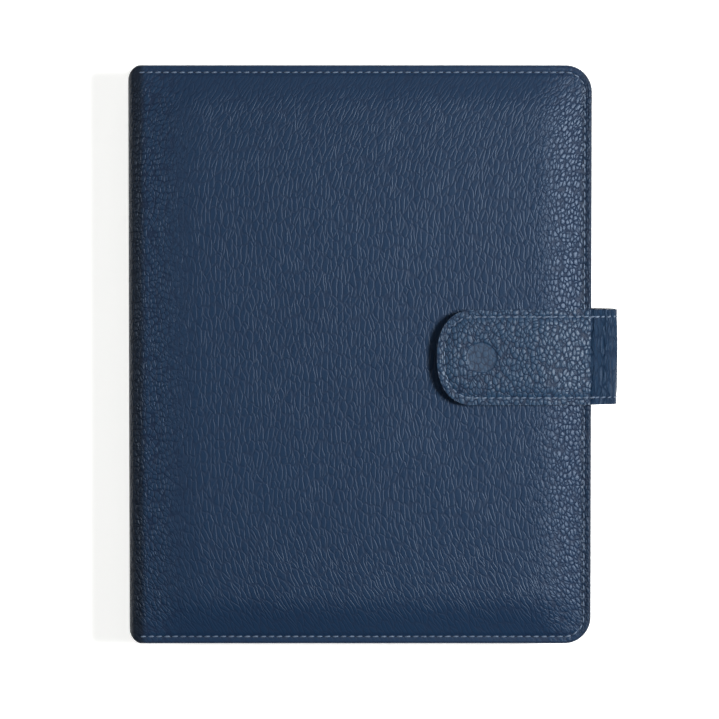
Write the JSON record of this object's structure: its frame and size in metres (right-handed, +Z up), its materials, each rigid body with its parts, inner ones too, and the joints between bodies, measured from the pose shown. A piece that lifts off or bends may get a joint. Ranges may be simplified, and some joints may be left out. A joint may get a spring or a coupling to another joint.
{
  "type": "tablet keyboard case",
  "caption": "Padded leather folio with a strap clasp, holding a tilting tablet tray on a folding stand leg and a slim wireless keyboard with moving keys and touchpad.",
  "frame": {"origin": "middle of the closed case's bounding box, on the surface that the back cover lies on", "axes": "+Z up through the closed stack, +X from the spine to the fore edge with the strap clasp, +Y along the spine"},
  "size_m": [0.2196, 0.26, 0.0358],
  "materials": {
    "outer_leather": "pebbled navy leather, satin",
    "lining_microfibre": "brushed microfibre",
    "padding_foam": "open foam",
    "stiffener_board": "pressed greyboard",
    "bright_steel": "plain zinc-plated",
    "magnet_nickel": "nickel-plated",
    "graphite_plastic": "fine spark-eroded matt",
    "dark_rubber": "matt soft",
    "black_plastic": "matt",
    "keycap_plastic": "fine matt, slightly dished",
    "touchpad_surface": "etched matt",
    "membrane_film": "translucent film",
    "silicone_domes": "milky",
    "circuit_board": "solder mask",
    "battery_pouch": "foil pouch",
    "light_lens": "clear diffuser"
  },
  "bodies": {
    "back_cover": {"back_leather": "outer_leather", "back_foam": "padding_foam", "back_board": "stiffener_board", "back_lining": "lining_microfibre", "holding_plates": "bright_steel", "strap_tail": "outer_leather", "keyboard_base": "graphite_plastic", "keyboard_deck": "graphite_plastic", "key_membrane": "membrane_film", "rubber_domes": "silicone_domes", "main_board": "circuit_board", "battery": "battery_pouch", "charge_port": "bright_steel", "keyboard_screws": "bright_steel", "keyboard_magnets": "magnet_nickel", "indicator_lights": "light_lens", "deck_bumpers": "dark_rubber"},
    "spine": {"spine_leather": "outer_leather", "spine_board": "stiffener_board", "spine_lining": "lining_microfibre"},
    "front_cover": {"front_leather": "outer_leather", "front_foam": "padding_foam", "front_board": "stiffener_board", "front_lining": "lining_microfibre", "catch_plate": "bright_steel", "hinge_leaf": "bright_steel", "hinge_pin": "bright_steel", "hinge_rivets": "bright_steel"},
    "tray": {"tray_shell": "graphite_plastic", "tray_corner_grips": "dark_rubber", "tray_felt": "lining_microfibre", "leg_pin": "bright_steel"},
    "stand": {"stand_leg": "graphite_plastic", "stand_foot": "dark_rubber"},
    "strap_bridge": {"strap_bridge": "outer_leather"},
    "strap_flap": {"strap_flap": "outer_leather", "strap_flap_lining": "outer_leather", "strap_magnet": "magnet_nickel"},
    "power_switch": {"power_switch": "black_plastic"},
    "pairing_button": {"pairing_button": "black_plastic"},
    "touchpad": {"touchpad": "touchpad_surface"},
    "key_escape": {"key_escape": "keycap_plastic"},
    "key_backspace": {"key_backspace": "keycap_plastic"},
    "key_tab": {"key_tab": "keycap_plastic"},
    "key_caps_lock": {"key_caps_lock": "keycap_plastic"},
    "key_enter": {"key_enter": "keycap_plastic"},
    "key_shift_left": {"key_shift_left": "keycap_plastic"},
    "key_shift_right": {"key_shift_right": "keycap_plastic"},
    "key_space": {"key_space": "keycap_plastic"},
    "key_arrow_left": {"key_arrow_left": "keycap_plastic"},
    "key_arrow_right": {"key_arrow_right": "keycap_plastic"},
    "key_arrow_up": {"key_arrow_up": "keycap_plastic"},
    "key_arrow_down": {"key_arrow_down": "keycap_plastic"},
    "keys_function_row": {"keys_function_row": "keycap_plastic"},
    "keys_number_row": {"keys_number_row": "keycap_plastic"},
    "keys_upper_row": {"keys_upper_row": "keycap_plastic"},
    "keys_home_row": {"keys_home_row": "keycap_plastic"},
    "keys_lower_row": {"keys_lower_row": "keycap_plastic"},
    "keys_left_modifiers": {"keys_left_modifiers": "keycap_plastic"},
    "keys_right_modifiers": {"keys_right_modifiers": "keycap_plastic"}
  },
  "joints": [
    {"name": "cover_fold", "type": "hinge", "parent": "back_cover", "child": "spine", "pos_m": [-0.10849, 0, 0.00456], "axis": [0, -1, 0], "range_deg": [0, 90]},
    {"name": "cover_fold_front", "type": "hinge", "parent": "spine", "child": "front_cover", "pos_m": [-0.10849, 0, 0.02824], "axis": [0, -1, 0], "range_deg": [0, 90]},
    {"name": "tray_tilt", "type": "hinge", "parent": "front_cover", "child": "tray", "pos_m": [-0.09825, 0, 0.0243], "axis": [0, 1, 0], "range_deg": [0, 68.5]},
    {"name": "stand_leg_swing", "type": "hinge", "parent": "tray", "child": "stand", "pos_m": [-0.01825, 0, 0.0243], "axis": [0, -1, 0], "range_deg": [0, 137]},
    {"name": "clasp_bridge_fold", "type": "hinge", "parent": "back_cover", "child": "strap_bridge", "pos_m": [0.10653, 0, 0.00332], "axis": [0, 1, 0], "range_deg": [0, 75]},
    {"name": "clasp_flap_fold", "type": "hinge", "parent": "strap_bridge", "child": "strap_flap", "pos_m": [0.10653, 0, 0.03243], "axis": [0, 1, 0], "range_deg": [0, 100]},
    {"name": "key_escape_press", "type": "slide", "parent": "back_cover", "child": "key_escape", "axis": [0, 0, 1], "range_m": [-0.0012, 0], "stiffness_N_per_m": 400, "springref_m": 0.0002, "deforming": ["rubber_domes"]},
    {"name": "key_backspace_press", "type": "slide", "parent": "back_cover", "child": "key_backspace", "axis": [0, 0, 1], "range_m": [-0.0012, 0], "stiffness_N_per_m": 400, "springref_m": 0.0002, "deforming": ["rubber_domes"]},
    {"name": "key_tab_press", "type": "slide", "parent": "back_cover", "child": "key_tab", "axis": [0, 0, 1], "range_m": [-0.0012, 0], "stiffness_N_per_m": 400, "springref_m": 0.0002, "deforming": ["rubber_domes"]},
    {"name": "key_caps_lock_press", "type": "slide", "parent": "back_cover", "child": "key_caps_lock", "axis": [0, 0, 1], "range_m": [-0.0012, 0], "stiffness_N_per_m": 400, "springref_m": 0.0002, "deforming": ["rubber_domes"]},
    {"name": "key_enter_press", "type": "slide", "parent": "back_cover", "child": "key_enter", "axis": [0, 0, 1], "range_m": [-0.0012, 0], "stiffness_N_per_m": 400, "springref_m": 0.0002, "deforming": ["rubber_domes"]},
    {"name": "key_shift_left_press", "type": "slide", "parent": "back_cover", "child": "key_shift_left", "axis": [0, 0, 1], "range_m": [-0.0012, 0], "stiffness_N_per_m": 400, "springref_m": 0.0002, "deforming": ["rubber_domes"]},
    {"name": "key_shift_right_press", "type": "slide", "parent": "back_cover", "child": "key_shift_right", "axis": [0, 0, 1], "range_m": [-0.0012, 0], "stiffness_N_per_m": 400, "springref_m": 0.0002, "deforming": ["rubber_domes"]},
    {"name": "key_space_press", "type": "slide", "parent": "back_cover", "child": "key_space", "axis": [0, 0, 1], "range_m": [-0.0012, 0], "stiffness_N_per_m": 400, "springref_m": 0.0002, "deforming": ["rubber_domes"]},
    {"name": "key_arrow_left_press", "type": "slide", "parent": "back_cover", "child": "key_arrow_left", "axis": [0, 0, 1], "range_m": [-0.0012, 0], "stiffness_N_per_m": 400, "springref_m": 0.0002, "deforming": ["rubber_domes"]},
    {"name": "key_arrow_right_press", "type": "slide", "parent": "back_cover", "child": "key_arrow_right", "axis": [0, 0, 1], "range_m": [-0.0012, 0], "stiffness_N_per_m": 400, "springref_m": 0.0002, "deforming": ["rubber_domes"]},
    {"name": "key_arrow_up_press", "type": "slide", "parent": "back_cover", "child": "key_arrow_up", "axis": [0, 0, 1], "range_m": [-0.0012, 0], "stiffness_N_per_m": 400, "springref_m": 0.0002, "deforming": ["rubber_domes"]},
    {"name": "key_arrow_down_press", "type": "slide", "parent": "back_cover", "child": "key_arrow_down", "axis": [0, 0, 1], "range_m": [-0.0012, 0], "stiffness_N_per_m": 400, "springref_m": 0.0002, "deforming": ["rubber_domes"]},
    {"name": "keys_function_row_press", "type": "slide", "parent": "back_cover", "child": "keys_function_row", "axis": [0, 0, 1], "range_m": [-0.0012, 0], "stiffness_N_per_m": 5200, "springref_m": 0.0002, "deforming": ["rubber_domes"]},
    {"name": "keys_number_row_press", "type": "slide", "parent": "back_cover", "child": "keys_number_row", "axis": [0, 0, 1], "range_m": [-0.0012, 0], "stiffness_N_per_m": 5200, "springref_m": 0.0002, "deforming": ["rubber_domes"]},
    {"name": "keys_upper_row_press", "type": "slide", "parent": "back_cover", "child": "keys_upper_row", "axis": [0, 0, 1], "range_m": [-0.0012, 0], "stiffness_N_per_m": 5200, "springref_m": 0.0002, "deforming": ["rubber_domes"]},
    {"name": "keys_home_row_press", "type": "slide", "parent": "back_cover", "child": "keys_home_row", "axis": [0, 0, 1], "range_m": [-0.0012, 0], "stiffness_N_per_m": 4400, "springref_m": 0.0002, "deforming": ["rubber_domes"]},
    {"name": "keys_lower_row_press", "type": "slide", "parent": "back_cover", "child": "keys_lower_row", "axis": [0, 0, 1], "range_m": [-0.0012, 0], "stiffness_N_per_m": 4000, "springref_m": 0.0002, "deforming": ["rubber_domes"]},
    {"name": "keys_left_modifiers_press", "type": "slide", "parent": "back_cover", "child": "keys_left_modifiers", "axis": [0, 0, 1], "range_m": [-0.0012, 0], "stiffness_N_per_m": 1600, "springref_m": 0.0002, "deforming": ["rubber_domes"]},
    {"name": "keys_right_modifiers_press", "type": "slide", "parent": "back_cover", "child": "keys_right_modifiers", "axis": [0, 0, 1], "range_m": [-0.0012, 0], "stiffness_N_per_m": 800, "springref_m": 0.0002, "deforming": ["rubber_domes"]},
    {"name": "touchpad_press", "type": "slide", "parent": "back_cover", "child": "touchpad", "axis": [0, 0, 1], "range_m": [-0.0003, 0], "stiffness_N_per_m": 2500, "springref_m": 0.0001},
    {"name": "pairing_button_press", "type": "slide", "parent": "back_cover", "child": "pairing_button", "axis": [0, 1, 0], "range_m": [-0.0005, 0], "stiffness_N_per_m": 1500, "springref_m": 0.0001},
    {"name": "power_switch_slide", "type": "slide", "parent": "back_cover", "child": "power_switch", "axis": [1, 0, 0], "range_m": [0, 0.002]}
  ],
  "couplings": [
    {"joint": "cover_fold_front", "follows": "cover_fold", "ratio": 1},
    {"joint": "tray_tilt", "follows": "cover_fold", "ratio": 0.75556},
    {"joint": "stand_leg_swing", "follows": "cover_fold", "ratio": 1.5111}
  ]
}
